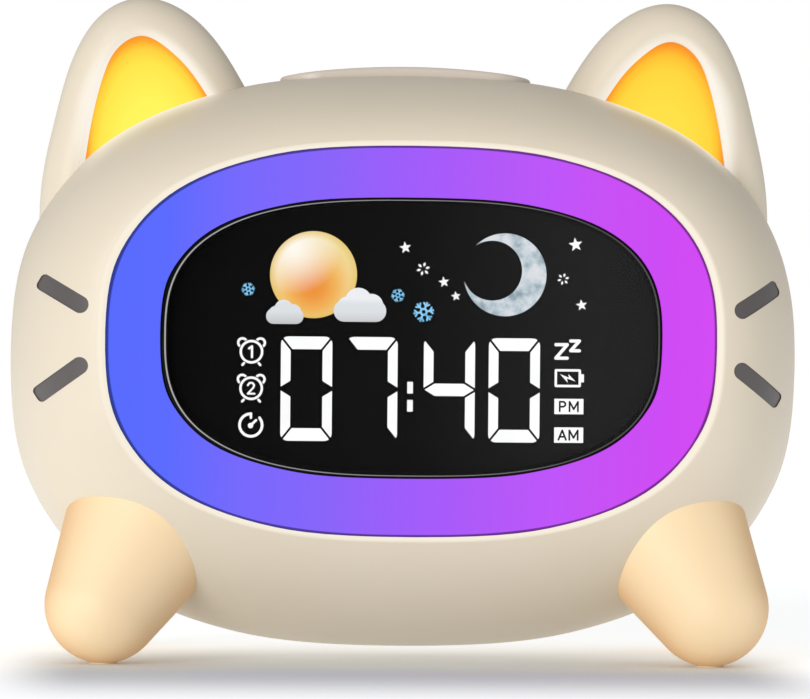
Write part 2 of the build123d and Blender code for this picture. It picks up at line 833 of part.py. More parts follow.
def bar_stroke(points, width):
    """A line of even width with round ends through points, as one flat figure."""
    figure = Sketch()
    for start, end in zip(points, points[1:]):
        run = Vector(*end) - Vector(*start)
        middle = (Vector(*end) + Vector(*start)) * 0.5
        angle = math.degrees(math.atan2(run.Y, run.X))
        figure += Pos(middle.X, middle.Y) * Rot(0, 0, angle) * SlotCenterToCenter(run.length, width)
    return figure


def arc_stroke(radius, start_degrees, end_degrees, width):
    steps = max(4, int(abs(end_degrees - start_degrees) / 20))
    points = []
    for step in range(steps + 1):
        angle = math.radians(start_degrees + (end_degrees - start_degrees) * step / steps)
        points.append((radius * math.cos(angle), radius * math.sin(angle)))
    return bar_stroke(points, width)


def digit_segment(name):
    """One of the segments a to g of a digit, centred on the digit."""
    w = (digit_width + segment_gap) / 2
    h = (digit_height + segment_gap) / 2
    iw = w - stroke_across
    ih = h - stroke_up
    right = [(w, h), (w, 0), (iw, middle_half), (iw, ih)]
    top = [(-w, h), (w, h), (iw, ih), (-iw, ih)]
    half_middle = [(-w, 0), (-iw, middle_half), (iw, middle_half)]
    corners = {
        "a": top,
        "b": right,
        "c": [(x, -y) for x, y in right],
        "d": [(x, -y) for x, y in top],
        "e": [(-x, -y) for x, y in right],
        "f": [(-x, y) for x, y in right],
        "g": half_middle + [(-x, -y) for x, y in half_middle],
    }[name]
    shape = make_face(Polyline(*corners, close=True))
    shape = offset(shape, -segment_gap / 2, kind=Kind.INTERSECTION)
    return shape & RectangleRounded(digit_width, digit_height, digit_corner)


def lit_segments():
    lit = ("abcdef", "abc", "bcfg", "abcdef")
    figures = []
    for x, names in zip(digit_places, lit):
        figures += [Pos(x, -digit_drop) * digit_segment(name) for name in names]
    for rise in (0.35, -3.0):
        figures.append(Pos(colon_x, -digit_drop + rise) * Rectangle(1.05, 2.15))
    return figures


def star(radius):
    points = []
    for step in range(10):
        reach = radius if step % 2 == 0 else radius * 0.42
        angle = math.radians(90 + 36 * step)
        points.append((reach * math.cos(angle), reach * math.sin(angle)))
    return make_face(Polyline(*points, close=True))


def petal_star(radius):
    corners = [(0.3, 0), (0.65, 0.2), (1, 0), (0.65, -0.2)]
    petal = make_face(Polyline(*[(radius * x, radius * z) for x, z in corners], close=True))
    return [Rot(0, 0, 60 * step + 15) * petal for step in range(6)]


def snowflake(radius):
    flake = Circle(0.38 * radius) - Circle(0.18 * radius)
    for step in range(6):
        arm = bar_stroke([(0.3 * radius, 0), (0.93 * radius, 0)], 0.17 * radius)
        for side in (-1, 1):
            arm += bar_stroke([(0.58 * radius, 0), (0.82 * radius, side * 0.27 * radius)], 0.17 * radius)
        flake += Rot(0, 0, 60 * step + 10) * arm
    return flake


def cloud(width, height):
    """A cloud with a flat rounded base, a tall puff and a lower one, in a width by height box."""
    base = Pos(0, -0.16 * height) * RectangleRounded(width, 0.62 * height, 0.3 * height)
    tall = Pos(-0.03 * width, 0.12 * height) * Circle(0.38 * height)
    low = Pos(0.22 * width, 0.0) * Circle(0.33 * height)
    small = Pos(-0.24 * width, -0.04 * height) * Circle(0.29 * height)
    return base + tall + low + small


def cloud_figures():
    return [Pos(-23.6, 4.6) * cloud(6.9, 4.6), Pos(-9.7, 6.0) * cloud(9.7, 6.5)]


def sun_figure():
    sun = Pos(-18.35, 11.6) * Circle(8.05)
    for figure in cloud_figures():
        sun -= figure
    return [sun]


def moon_figure():
    return [Pos(17.15, 11.9) * Circle(7.68) - Pos(14.75, 12.65) * Circle(5.55)]


def star_figures():
    places = (
        (-1.4, 16.75, 1.15), (5.8, 10.45, 1.05), (8.05, 7.85, 0.95), (30.2, 17.6, 1.35), (31.4, 6.4, 1.1),
    )
    figures = [Pos(x, z) * Rot(0, 0, 8) * star(radius) for x, z, radius in places]
    for x, z, radius in ((1.95, 12.85, 1.3), (27.95, 11.2, 1.15)):
        figures += [Pos(x, z) * petal for petal in petal_star(radius)]
    return figures


def snowflake_figures():
    places = ((-30.4, 8.8, 1.25), (-2.7, 7.9, 1.25), (2.1, 4.9, 1.95))
    return [Pos(x, z) * snowflake(radius) for x, z, radius in places]


def alarm_icon(figure):
    """An alarm clock 4.4 mm across with its number inside, as separate figures."""
    radius = 2.2
    parts = [Circle(radius) - Circle(radius - icon_stroke), figure]
    for side in (-1, 1):
        turn = Rot(0, 0, 45 if side > 0 else 135)
        bell = Pos(side * 1.67, 1.67) * turn * arc_stroke(0.8, -95, 95, icon_stroke)
        parts.append(bell - Circle(radius + 0.14))
        parts.append(bar_stroke([(side * 1.37, -2.13), (side * 1.64, -2.44)], icon_stroke))
    return parts


def timer_icon():
    hand = bar_stroke([(-0.1, -0.15), (0.25, 0.2), (0.95, 0.9)], icon_stroke)
    tick = bar_stroke([(0, 1.35), (0, 2.1)], icon_stroke)
    return [arc_stroke(2.1, 40, -270, 0.5) + tick, hand + Pos(-0.05, -0.1) * Circle(0.5)]


def letter_z(width, height):
    points = [(-width, height), (width, height), (-width, -height), (width, -height)]
    return bar_stroke([(x / 2, y / 2) for x, y in points], letter_z_stroke)


def battery_icon():
    width = 4.9
    height = 3.35
    hollow = Rectangle(width - 2 * icon_stroke, height - 2 * icon_stroke)
    body = RectangleRounded(width, height, 0.3) - hollow
    cap = Pos(2.72, 0) * Rectangle(0.55, 1.5)
    corners = [(-1.45, 0.75), (0.2, 0.1), (0.1, 0.75), (1.45, -0.6), (-0.15, -0.05), (0.0, -0.85)]
    bolt = make_face(Polyline(*corners, close=True))
    return [body + cap, bolt]


def letter_p():
    bowl = [(-0.5, 0.87), (0.2, 0.87), (0.52, 0.62), (0.52, 0.2), (0.2, -0.05), (-0.5, -0.05)]
    return bar_stroke([(-0.5, -0.87)] + bowl, letter_stroke)


def letter_a():
    legs = bar_stroke([(-0.7, -0.87), (0, 0.87), (0.7, -0.87)], letter_stroke)
    return legs + bar_stroke([(-0.42, -0.32), (0.42, -0.32)], letter_stroke)


def letter_m():
    points = [(-0.78, -0.87), (-0.78, 0.87), (0, -0.5), (0.78, 0.87), (0.78, -0.87)]
    return bar_stroke(points, letter_stroke)


def half_day_icon(first_letter):
    """A lit plate with two dark letters left in it."""
    plate = Rectangle(5.4, 2.85)
    return [plate - Pos(-1.2, 0) * first_letter - Pos(0.9, 0) * letter_m()]


def status_figures():
    one = bar_stroke([(-0.45, 0.6), (0.1, 1.0), (0.1, -1.0)], 0.42)
    bend = [(-0.62, 0.55), (-0.3, 0.98), (0.25, 0.98), (0.55, 0.6), (0.4, 0.1), (-0.62, -1.0), (0.62, -1.0)]
    two = bar_stroke(bend, 0.36)
    groups = [
        (-29.7, -2.75, alarm_icon(one)),
        (-29.7, -9.5, alarm_icon(two)),
        (-29.7, -16.3, timer_icon()),
        (27.75, -2.2, [letter_z(2.1, 2.5)]),
        (30.25, -1.15, [letter_z(1.6, 1.8)]),
        (28.95, -7.15, battery_icon()),
        (29.2, -12.4, half_day_icon(letter_p())),
        (29.2, -17.7, half_day_icon(letter_a())),
    ]
    return [Pos(x, z) * figure for x, z, figures in groups for figure in figures]


def windows(figures):
    """Each figure, placed on the display, as a clear piece as thick as the mask."""
    pieces = []
    for figure in figures:
        for face in figure.faces():
            pieces.append(slab(Pos(0, lens_centre_z) * face, mask_front_y, mask_back_y))
    return pieces


def make_display_mask(window_groups):
    mask = slab(lens_shape(-mask_margin), mask_front_y, mask_back_y)
    mask -= [piece for pieces in window_groups for piece in pieces]
    return mask


def make_display_housing():
    housing = slab(lens_shape(0.2), lens_back_y, tray_back_y)
    housing += slab(lens_shape(housing_flange), tray_back_y, flange_back_y)
    housing -= slab(lens_shape(-mask_margin), lens_back_y - 1, mask_back_y)
    housing -= slab(lens_shape(-housing_wall), mask_back_y - 1, flange_back_y + 1)
    half_rib = housing_rib_thickness / 2
    z_range = (lens_centre_z - lens_half_height, lens_centre_z + lens_half_height)
    for x in (-housing_rib_x, 0, housing_rib_x):
        rib = block((x - half_rib, x + half_rib), (mask_back_y, tray_back_y), z_range)
        housing += rib & slab(lens_shape(-1), mask_back_y, tray_back_y)
    for x, z in display_screw_places():
        housing -= rod_y(x, z, screw_hole, tray_back_y - 1, flange_back_y + 1)
    return housing


def make_display_board():
    board = slab(lens_shape(housing_flange), flange_back_y, display_board_back_y)
    for x, z in display_screw_places():
        board -= rod_y(x, z, screw_hole, flange_back_y - 1, display_board_back_y + 1)
    return board


def make_display_leds():
    width, depth, height = display_led_size
    y_range = (flange_back_y - depth, flange_back_y)
    leds = []
    for column in range(display_led_columns):
        x = (column - (display_led_columns - 1) / 2) * display_led_pitch_x
        for row in range(display_led_rows):
            z = lens_centre_z + (row - (display_led_rows - 1) / 2) * display_led_pitch_z
            led = block((x - width / 2, x + width / 2), y_range, (z - height / 2, z + height / 2))
            leds.append(led)
    return leds


# ---- back: main board, buttons, socket, speaker --------------------------------------

def button_places():
    first = -button_pitch * (len(button_names) - 1) / 2
    return [first + button_pitch * step for step in range(len(button_names))]


def make_main_board():
    half = main_board_width / 2
    z_range = (main_board_z - main_board_height / 2, main_board_z + main_board_height / 2)
    board = block((-half, half), (main_board_y, main_board_back_y), z_range)
    for x, z in main_board_screw_places():
        board -= rod_y(x, z, screw_hole, main_board_y - 1, main_board_back_y + 1)
    return board


def make_board_chips():
    """Chips and lead connectors on the front of the main board, a crystal among them."""
    chips = []
    for x_range, depth, rises in board_chip_places:
        z_range = [main_board_z + rise for rise in rises]
        chips.append(block(x_range, (main_board_y - depth, main_board_y), z_range))
    return chips


def make_button_switches():
    half = switch_size / 2
    switches = []
    for x in button_places():
        z_range = (button_z - half, button_z + half)
        body = block((x - half, x + half), (main_board_back_y, switch_top_y), z_range)
        floor_y = plunger_end_y - plunger_length - button_travel - plunger_spare
        bore = rod_y(x, button_z, plunger_radius + plunger_clearance, floor_y, switch_top_y + 1)
        switches.append(body - bore)
    return switches


def make_button_plunger(x):
    return rod_y(x, button_z, plunger_radius, plunger_end_y - plunger_length, plunger_end_y)


def make_rear_button(x):
    flange_y = back_inner_y - button_flange_thickness
    cap = rod_y(x, button_z, button_radius, flange_y, back_y + button_proud)
    cap = fillet(cap.faces().sort_by(Axis.Y)[-1].edges(), 0.6)
    flange = rod_y(x, button_z, button_radius + button_flange, flange_y, back_inner_y)
    return cap + flange + rod_y(x, button_z, button_post_radius, plunger_end_y, flange_y)


def make_usb_socket():
    outline = SlotOverall(socket_width, socket_height)
    mouth = SlotOverall(socket_width - 2 * socket_wall, socket_height - 2 * socket_wall)
    front_y = back_y - socket_recess
    body = slab(Pos(0, socket_z) * outline, main_board_back_y, front_y)
    body -= slab(Pos(0, socket_z) * mouth, front_y - 6.5, front_y + 1)
    tongue = block((-3.3, 3.3), (front_y - 6.6, front_y - 0.6), (socket_z - 0.35, socket_z + 0.35))
    return body + tongue


def make_speaker_frame():
    rim = rod_y(0, speaker_z, speaker_radius, back_inner_y - speaker_rim_thickness, back_inner_y)
    basket_depth = 4.0
    basket_back = back_inner_y - speaker_rim_thickness
    cone = Rot(90, 0, 0) * Cone(speaker_radius - 1, speaker_magnet_radius, basket_depth)
    frame = rim + Pos(0, basket_back - basket_depth / 2, speaker_z) * cone
    tab_y = (basket_back - 2, basket_back - 1)
    frame += block((-4, 4), tab_y, (speaker_z + 10, speaker_z + speaker_radius + 3))
    room = Pos(0, basket_back - basket_depth / 2 + 0.8, speaker_z) * Rot(90, 0, 0) * Cone(
        speaker_radius - 2, speaker_magnet_radius - 1.5, basket_depth
    )
    frame -= room
    return frame - rod_y(0, speaker_z, speaker_radius - 2, basket_back - 0.1, back_y)


def make_speaker_cone():
    """Paper cone with its dust cap, glued to the rim of the frame."""
    depth = 2.2
    rim_y = back_inner_y - speaker_rim_thickness + 0.3
    centre = Pos(0, rim_y - depth / 2, speaker_z) * Rot(90, 0, 0)
    outer = centre * Cone(speaker_radius - 2, 5.0, depth)
    inner = Pos(0, 0.5, 0) * centre * Cone(speaker_radius - 2, 5.0, depth)
    surround = rod_y(0, speaker_z, speaker_radius - 2, rim_y - 0.05, rim_y + 0.5)
    surround -= rod_y(0, speaker_z, speaker_radius - 3.2, rim_y - 1, rim_y + 1)
    return outer - inner + surround


def make_speaker_magnet():
    back = back_inner_y - speaker_rim_thickness - 4.0
    return rod_y(0, speaker_z, speaker_magnet_radius, back - 3.0, back)


# ---- battery and leads ---------------------------------------------------------------

def make_battery():
    half_width = battery_width / 2
    half_height = battery_height / 2
    front_y = display_board_back_y + battery_tape
    z_range = (lens_centre_z - half_height, lens_centre_z + half_height)
    cell = block((-half_width, half_width), (front_y, front_y + battery_thickness), z_range)
    return fillet(cell.edges().filter_by(Axis.Z), battery_corner)


def make_battery_tape():
    half_width = battery_width / 2 - battery_tape_margin
    half_height = battery_height / 2 - battery_tape_margin
    y_range = (display_board_back_y, display_board_back_y + battery_tape)
    z_range = (lens_centre_z - half_height, lens_centre_z + half_height)
    return block((-half_width, half_width), y_range, z_range)


def lead(points):
    """An insulated wire through points, with an arc at each bend as large as its runs allow."""
    radii = []
    for before, at, after in zip(points, points[1:], points[2:]):
        run_in = Vector(*at) - Vector(*before)
        run_out = Vector(*after) - Vector(*at)
        half_turn = math.radians(run_in.get_angle(run_out)) / 2
        radii.append(0.45 * min(run_in.length, run_out.length) / math.tan(half_turn))
    path = FilletPolyline(*points, radius=radii)
    start = Plane(origin=path @ 0, z_dir=path % 0)
    wire = sweep(start * Circle(lead_radius), path=path)
    expected = math.pi * lead_radius ** 2 * path.length
    print("lead", round(path.length, 1), "mm, radii", [round(r, 1) for r in radii],
          "volume ratio", round(wire.volume / expected, 4))
    return wire


def make_battery_leads():
    cell_y = display_board_back_y + battery_tape + battery_thickness / 2
    top_z = lens_centre_z + battery_height / 2
    wires = []
    for shift in (0, 2.5):
        wires.append(lead([
            (3 - shift, cell_y, top_z),
            (3 - shift, cell_y, top_z + 8.4),
            (-shift, cell_y + 10.7, top_z + 13.4),
            (-6 - shift, cell_y + 19.7, top_z + 5.4),
            (-8 - shift, main_board_y - 13, main_board_z - 1.5),
            (-8 - shift, main_board_y - 4.5, main_board_z - 1.5),
        ]))
    return wires


def make_speaker_leads():
    tab_y = back_inner_y - speaker_rim_thickness - 2
    wires = []
    for x in (-2, 2):
        wires.append(lead([
            (x, tab_y, speaker_z + 15), (x, tab_y - 5.3, speaker_z + 15),
            (x, main_board_y - 2.2, speaker_z + 18), (x, main_board_y - 2.2, main_board_z - 13),
        ]))
    return wires


# ---- assembly ------------------------------------------------------------------------

def all_nodes():
    window_nodes = {
        "digit_segments": windows(lit_segments()),
        "sun_window": windows(sun_figure()),
        "moon_window": windows(moon_figure()),
        "cloud_windows": windows(cloud_figures()),
        "star_windows": windows(star_figures()),
        "snowflake_windows": windows(snowflake_figures()),
        "status_windows": windows(status_figures()),
    }
    ear = make_ear_shell()
    ear_panel = make_ear_panel()
    ear_board = make_ear_board()
    ear_led = make_ear_led()
    front_leg = make_leg(True)
    rear_leg = make_leg(False)
    whiskers = make_whiskers()
    leg_screws = [make_leg_screw(front) for front in (True, False)]
    nodes = {
        "front_shell": [make_front_shell()],
        "rear_shell": [make_rear_shell()],
        "ear_shell_left": [ear],
        "ear_shell_right": [mirrored(ear)],
        "ear_panel_left": [ear_panel],
        "ear_panel_right": [mirrored(ear_panel)],
        "ear_led_board_left": [ear_board],
        "ear_led_board_right": [mirrored(ear_board)],
        "ear_leds": [ear_led, mirrored(ear_led)],
        "front_leg_left": [front_leg],
        "front_leg_right": [mirrored(front_leg)],
        "rear_leg_left": [rear_leg],
        "rear_leg_right": [mirrored(rear_leg)],
        "foot_pads": make_foot_pads(),
        "whiskers_left": whiskers,
        "whiskers_right": [mirrored(whisker) for whisker in whiskers],
        "light_ring": [make_light_ring()],
        "ring_reflector": [make_ring_reflector()],
        "ring_led_board": [make_ring_board()],
        "ring_leds": make_ring_leds(),
        "display_lens": [make_display_lens()],
        "display_mask": [make_display_mask(window_nodes.values())],
        "display_housing": [make_display_housing()],
        "display_board": [make_display_board()],
        "display_leds": make_display_leds(),
        "main_board": [make_main_board()],
        "board_chips": make_board_chips(),
        "usb_socket": [make_usb_socket()],
        "button_switches": make_button_switches(),
        "battery_cell": [make_battery()],
        "battery_tape": [make_battery_tape()],
        "battery_leads": make_battery_leads(),
        "speaker_frame": [make_speaker_frame()],
        "speaker_cone": [make_speaker_cone()],
        "speaker_magnet": [make_speaker_magnet()],
        "speaker_leads": make_speaker_leads(),
        "snooze_bar": [make_snooze_bar()],
        "snooze_board": [make_snooze_board()],
        "snooze_switch": [make_snooze_switch()],
        "snooze_plunger": [make_snooze_plunger()],
        "board_screws": make_board_screws(),
        "case_screws": make_case_screws(),
        "leg_screws": leg_screws + [mirrored(screw) for screw in leg_screws],
    }
    for name, x in zip(button_names, button_places()):
        nodes["button_" + name] = [make_rear_button(x)]
        nodes["plunger_" + name] = [make_button_plunger(x)]
    nodes.update(window_nodes)
    return nodes


os.makedirs("parts", exist_ok=True)
for name, pieces in all_nodes().items():
    solids = [solid for piece in pieces for solid in piece.solids()]
    export_step(Compound(children=solids) if len(solids) > 1 else solids[0], "parts/" + name + ".step")
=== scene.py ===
import bpy
import math
from mathutils import Matrix, Vector

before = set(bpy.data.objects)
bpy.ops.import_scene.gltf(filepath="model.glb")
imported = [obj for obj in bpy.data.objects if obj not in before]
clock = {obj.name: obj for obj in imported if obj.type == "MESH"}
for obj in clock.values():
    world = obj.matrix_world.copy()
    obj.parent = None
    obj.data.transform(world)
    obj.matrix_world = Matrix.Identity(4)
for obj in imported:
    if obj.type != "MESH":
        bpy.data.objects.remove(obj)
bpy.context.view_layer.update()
bpy.ops.object.select_all(action="DESELECT")


# ---- camera, table and light ---------------------------------------------------------
# The clock stands on a white table top in a white room. The camera looks level at the case,
# a little from the left, from about a metre away, and one broad soft lamp stands low on the
# left in front.

def colour(hex_code):
    """An sRGB hex colour as a linear RGBA value."""
    channels = [int(hex_code[i:i + 2], 16) / 255 for i in (1, 3, 5)]
    return [c / 12.92 if c <= 0.04045 else ((c + 0.055) / 1.055) ** 2.4 for c in channels] + [1.0]


def add(tree, kind, settings=None, values=None, links=None, stops=()):
    """Adds a node with its settings, the values of its inputs and the outputs that feed them.

    A colour ramp also gets its stops, each a position and a hex colour."""
    made = tree.nodes.new(kind)
    for name, value in (settings or {}).items():
        setattr(made, name, value)
    for name, value in (values or {}).items():
        made.inputs[name].default_value = value
    for name, source in (links or {}).items():
        tree.links.new(source, made.inputs[name])
    while stops and len(made.color_ramp.elements) < len(stops):
        made.color_ramp.elements.new(1.0)
    for index, (position, hex_code) in enumerate(stops):
        made.color_ramp.elements[index].position = position
        made.color_ramp.elements[index].color = colour(hex_code)
    return made


def change(low, high, at_low=0.0, at_high=1.0):
    """The values of a change from at_low, up to the input low, to at_high, from high on."""
    return {"From Min": low, "From Max": high, "To Min": at_low, "To Max": at_high}


smooth = {"interpolation_type": "SMOOTHSTEP"}


def all_of(tree, *shares):
    """The product of several shares: high only where all of them are high."""
    whole = shares[0]
    for share in shares[1:]:
        made = add(tree, "ShaderNodeMath", {"operation": "MULTIPLY"}, links={0: whole, 1: share})
        whole = made.outputs[0]
    return whole


def empty_tree(holder):
    holder.use_nodes = True
    holder.node_tree.nodes.clear()
    return holder.node_tree


def blank_material(name):
    material = bpy.data.materials.new(name)
    return material, empty_tree(material)


camera_distance = 0.970
camera_height = 0.0589
camera_turn = math.radians(2.8)
camera_roll = math.radians(0.5)
sensor_width = 36.0
image_width = 810
image_shift = 2.0
millimetres_per_pixel = 0.1918

camera_data = bpy.data.cameras.new("level_camera")
camera_data.sensor_width = sensor_width
camera_data.lens = sensor_width * camera_distance * 1000 / (image_width * millimetres_per_pixel)
camera_data.shift_x = image_shift / image_width
camera_data.clip_end = 20.0
camera = bpy.data.objects.new("level_camera", camera_data)
bpy.context.scene.collection.objects.link(camera)
camera_place = (-camera_distance * math.sin(camera_turn), -camera_distance * math.cos(camera_turn),
                camera_height)
camera.matrix_world = (
    Matrix.Translation(camera_place)
    @ Matrix.Rotation(-camera_turn, 4, "Z")
    @ Matrix.Rotation(math.radians(90), 4, "X")
    @ Matrix.Rotation(camera_roll, 4, "Z")
)
bpy.context.scene.camera = camera
bpy.context.scene.view_settings.view_transform = "Standard"

# the room: an even, plain level on the clock, and plain white where it is seen directly
room_level = 0.47
room = bpy.data.worlds.new("white_room")
tree = empty_tree(room)
ray = add(tree, "ShaderNodeLightPath")
seen = add(tree, "ShaderNodeMath", {"operation": "MAXIMUM"},
           links={0: ray.outputs["Is Camera Ray"], 1: ray.outputs["Is Transmission Ray"]})
level = add(tree, "ShaderNodeBackground", values={"Color": (1, 1, 1, 1), "Strength": room_level})
white = add(tree, "ShaderNodeBackground", values={"Color": (1, 1, 1, 1), "Strength": 1.0})
both = add(tree, "ShaderNodeMixShader", links={0: seen.outputs[0], 1: level.outputs[0], 2: white.outputs[0]})
add(tree, "ShaderNodeOutputWorld", links={"Surface": both.outputs[0]})
bpy.context.scene.world = room

# the lamp: a wide low sun, so that the left side is lighter than the right and the crown
lamp_strength = 1.86
lamp_width = math.radians(30)
towards_lamp = Vector((-0.52, -0.82, 0.17))
lamp_data = bpy.data.lights.new("low_side_lamp", "SUN")
lamp_data.energy = lamp_strength
lamp_data.angle = lamp_width
lamp_data.color = (1.0, 0.985, 0.96)
lamp = bpy.data.objects.new("low_side_lamp", lamp_data)
bpy.context.scene.collection.objects.link(lamp)
lamp.matrix_world = towards_lamp.to_track_quat("Z", "Y").to_matrix().to_4x4()

# the table: painted white board. A little light of its own keeps it white around the shadow,
# and fades out, in metres from the middle, under the clock and just in front of it, which
# paints a soft shadow there. The camera sees slightly less of that light than the clock's
# underside does.
table_size = 24.0
own_light_around = 0.70
own_light_in_painted_shadow = 0.14
less_for_camera = 0.09
left_fade = (-0.081, -0.060)
right_fade = (0.057, 0.079)
front_fade = (-0.140, -0.048)
back_fade = (-0.048, 0.060)

bpy.ops.mesh.primitive_plane_add(size=table_size, location=(0, 0, 0))
table = bpy.context.object
table.name = "table_top"
surface, tree = blank_material("white_painted_board")
paint = add(tree, "ShaderNodeBsdfDiffuse", values={"Color": (0.715, 0.735, 0.745, 1)})
place = add(tree, "ShaderNodeTexCoord")
axes = add(tree, "ShaderNodeSeparateXYZ", links={0: place.outputs["Object"]})
# painted shadow: the shares that dim the table's own light under the clock and in front of it
painted_shadow_shares = []
for axis, fade, ends in (("X", left_fade, (0.0, 1.0)), ("X", right_fade, (1.0, 0.0)),
                         ("Y", front_fade, (0.0, 1.0)), ("Y", back_fade, (1.0, 0.0))):
    share = add(tree, "ShaderNodeMapRange", smooth, change(*fade, *ends), {"Value": axes.outputs[axis]})
    painted_shadow_shares.append(share.outputs["Result"])
own_light = add(tree, "ShaderNodeMapRange", values=change(0.0, 1.0, own_light_around, own_light_in_painted_shadow),
                links={"Value": all_of(tree, *painted_shadow_shares)})
ray = add(tree, "ShaderNodeLightPath")
own_seen = add(tree, "ShaderNodeMath", {"operation": "MULTIPLY_ADD"}, {1: -less_for_camera},
               {0: ray.outputs["Is Camera Ray"], 2: own_light.outputs["Result"]})
lift = add(tree, "ShaderNodeEmission", values={"Color": (1, 1, 1, 1)},
           links={"Strength": own_seen.outputs[0]})
whole = add(tree, "ShaderNodeAddShader", links={0: paint.outputs[0], 1: lift.outputs[0]})
add(tree, "ShaderNodeOutputMaterial", links={"Surface": whole.outputs[0]})
table.data.materials.append(surface)


# ---- case shells, ear shells and snooze bar ------------------------------------------
# Two half shells with the ears let in between them and the snooze bar in the crown: one warm
# cream ABS, left satin by the fine spark texture of its moulds. Painted light stands for the
# light of the lit ears on their rims and the shoulder below them, and of the ring round its opening.

millimetre = 0.001
abs_ior = 1.53
grain_size = 0.45 * millimetre  # the real texture is finer and is drawn as coarse as it shows
tone_patch = 18 * millimetre
relief_strength = 0.35
roughness_spread = (-0.04, 0.05)
flank_shade_normals = (0.15, 0.88)
flank_shade_share = 0.8


def dress(material, *nodes):
    """Gives the CAD nodes one material."""
    for name in nodes:
        for slot in clock[name].material_slots:
            slot.material = material


def moulded(name, base_hex, shade_hex, roughness, grain_height, grain=grain_size, cloud=tone_patch,
            spill=None, painted_light_hex="#FFF9EE", specular=0.5, flank_shade_hex=None):
    """A moulded plastic: a faint drift of tone over the piece and a fine texture from the mould.

    Spill gives, from the tree and the piece's coordinates, the share of painted light mixed in.
    The flank colour paints shade on the flanks, where the piece turns away from front and back."""
    material, tree = blank_material(name)
    place = add(tree, "ShaderNodeTexCoord")
    drift = add(tree, "ShaderNodeTexNoise", values={"Scale": 1 / cloud, "Detail": 3.0, "Roughness": 0.5},
                links={"Vector": place.outputs["Object"]})
    tone = add(tree, "ShaderNodeMix", {"data_type": "RGBA"},
               {"A": colour(base_hex), "B": colour(shade_hex)}, {"Factor": drift.outputs["Fac"]})
    # painted shade: the flanks take the flank colour the more they turn away from front and back
    if flank_shade_hex:
        facing = add(tree, "ShaderNodeSeparateXYZ", links={0: place.outputs["Normal"]})
        ahead = add(tree, "ShaderNodeMath", {"operation": "ABSOLUTE"}, links={0: facing.outputs["Y"]})
        flank_shade = add(tree, "ShaderNodeMapRange", smooth, change(*flank_shade_normals, flank_shade_share, 0.0),
                    {"Value": ahead.outputs[0]})
        tone = add(tree, "ShaderNodeMix", {"data_type": "RGBA"}, {"B": colour(flank_shade_hex)},
                   {"Factor": flank_shade.outputs["Result"], "A": tone.outputs["Result"]})
    texture = add(tree, "ShaderNodeTexNoise", values={"Scale": 1 / grain, "Detail": 2.0, "Roughness": 0.6},
                  links={"Vector": place.outputs["Object"]})
    relief = add(tree, "ShaderNodeBump", values={"Strength": relief_strength, "Distance": grain_height},
                 links={"Height": texture.outputs["Fac"]})
    sheen = add(tree, "ShaderNodeMapRange",
                values=change(0.0, 1.0, roughness + roughness_spread[0], roughness + roughness_spread[1]),
                links={"Value": texture.outputs["Fac"]})
    plastic = add(tree, "ShaderNodeBsdfPrincipled", values={"IOR": abs_ior, "Specular IOR Level": specular},
                  links={"Base Color": tone.outputs["Result"], "Roughness": sheen.outputs["Result"],
                         "Normal": relief.outputs["Normal"]})
    surface = plastic.outputs[0]
    # painted light: an emission in the spill colour, mixed over the plastic by the spill's share
    if spill:
        painted_light = add(tree, "ShaderNodeEmission", values={"Color": colour(painted_light_hex)})
        mixed = add(tree, "ShaderNodeMixShader",
                    links={0: spill(tree, place.outputs["Object"]), 1: surface, 2: painted_light.outputs[0]})
        surface = mixed.outputs[0]
    add(tree, "ShaderNodeOutputMaterial", links={"Surface": surface})
    return material


def spread_from(tree, centre, reach, turn=0.0):
    """0 at centre, rising evenly to 1 where the piece is reach away from it, in metres on each axis."""
    place = add(tree, "ShaderNodeTexCoord")
    moved = add(tree, "ShaderNodeMapping", {"vector_type": "TEXTURE"},
                {"Location": centre, "Scale": reach, "Rotation": (0, turn, 0)},
                {"Vector": place.outputs["Object"]})
    distance = add(tree, "ShaderNodeVectorMath", {"operation": "LENGTH"}, links={0: moved.outputs[0]})
    return distance.outputs["Value"]


# the lit panels: an ellipse that follows the edge of each, leaning with its ear
any_depth = 1.0
panel_centre_x = 0.04696
panel_centre_z = 0.09003
panel_reach = (0.01304, any_depth, 0.028)
panel_turn = math.radians(8.5)


def out_from_panel(tree, side):
    """1 along the edge of an ear's lit panel, less within it and more outside."""
    return spread_from(tree, (side * panel_centre_x, 0, panel_centre_z), panel_reach, side * panel_turn)


rim_heights = (0.1034, 0.1194)
rim_reaches = (1.26, 1.09)
rim_glow_start = 0.98
rim_glow_share = 0.9
rim_front = (-0.0065, -0.0035)


def painted_rim_light(tree, coordinates, side):
    """Painted light from the panel on the rim of its ear: strongest at the opening, only in front."""
    axes = add(tree, "ShaderNodeSeparateXYZ", links={0: coordinates})
    reach = add(tree, "ShaderNodeMapRange", smooth, change(*rim_heights, *rim_reaches),
                {"Value": axes.outputs["Z"]})
    near = add(tree, "ShaderNodeMapRange", smooth,
               {"From Min": rim_glow_start, "To Min": rim_glow_share, "To Max": 0.0},
               {"Value": out_from_panel(tree, side), "From Max": reach.outputs["Result"]})
    front = add(tree, "ShaderNodeMapRange", smooth, change(*rim_front, 1.0, 0.0),
                {"Value": axes.outputs["Y"]})
    return all_of(tree, near.outputs["Result"], front.outputs["Result"])


shoulder_inner = (0.033, 0.041)
shoulder_outer = (0.057, 0.0625)
shoulder_depths = (-0.0220, -0.0060)
shoulder_heights = (0.0794, 0.0874)
shoulder_share = 0.85


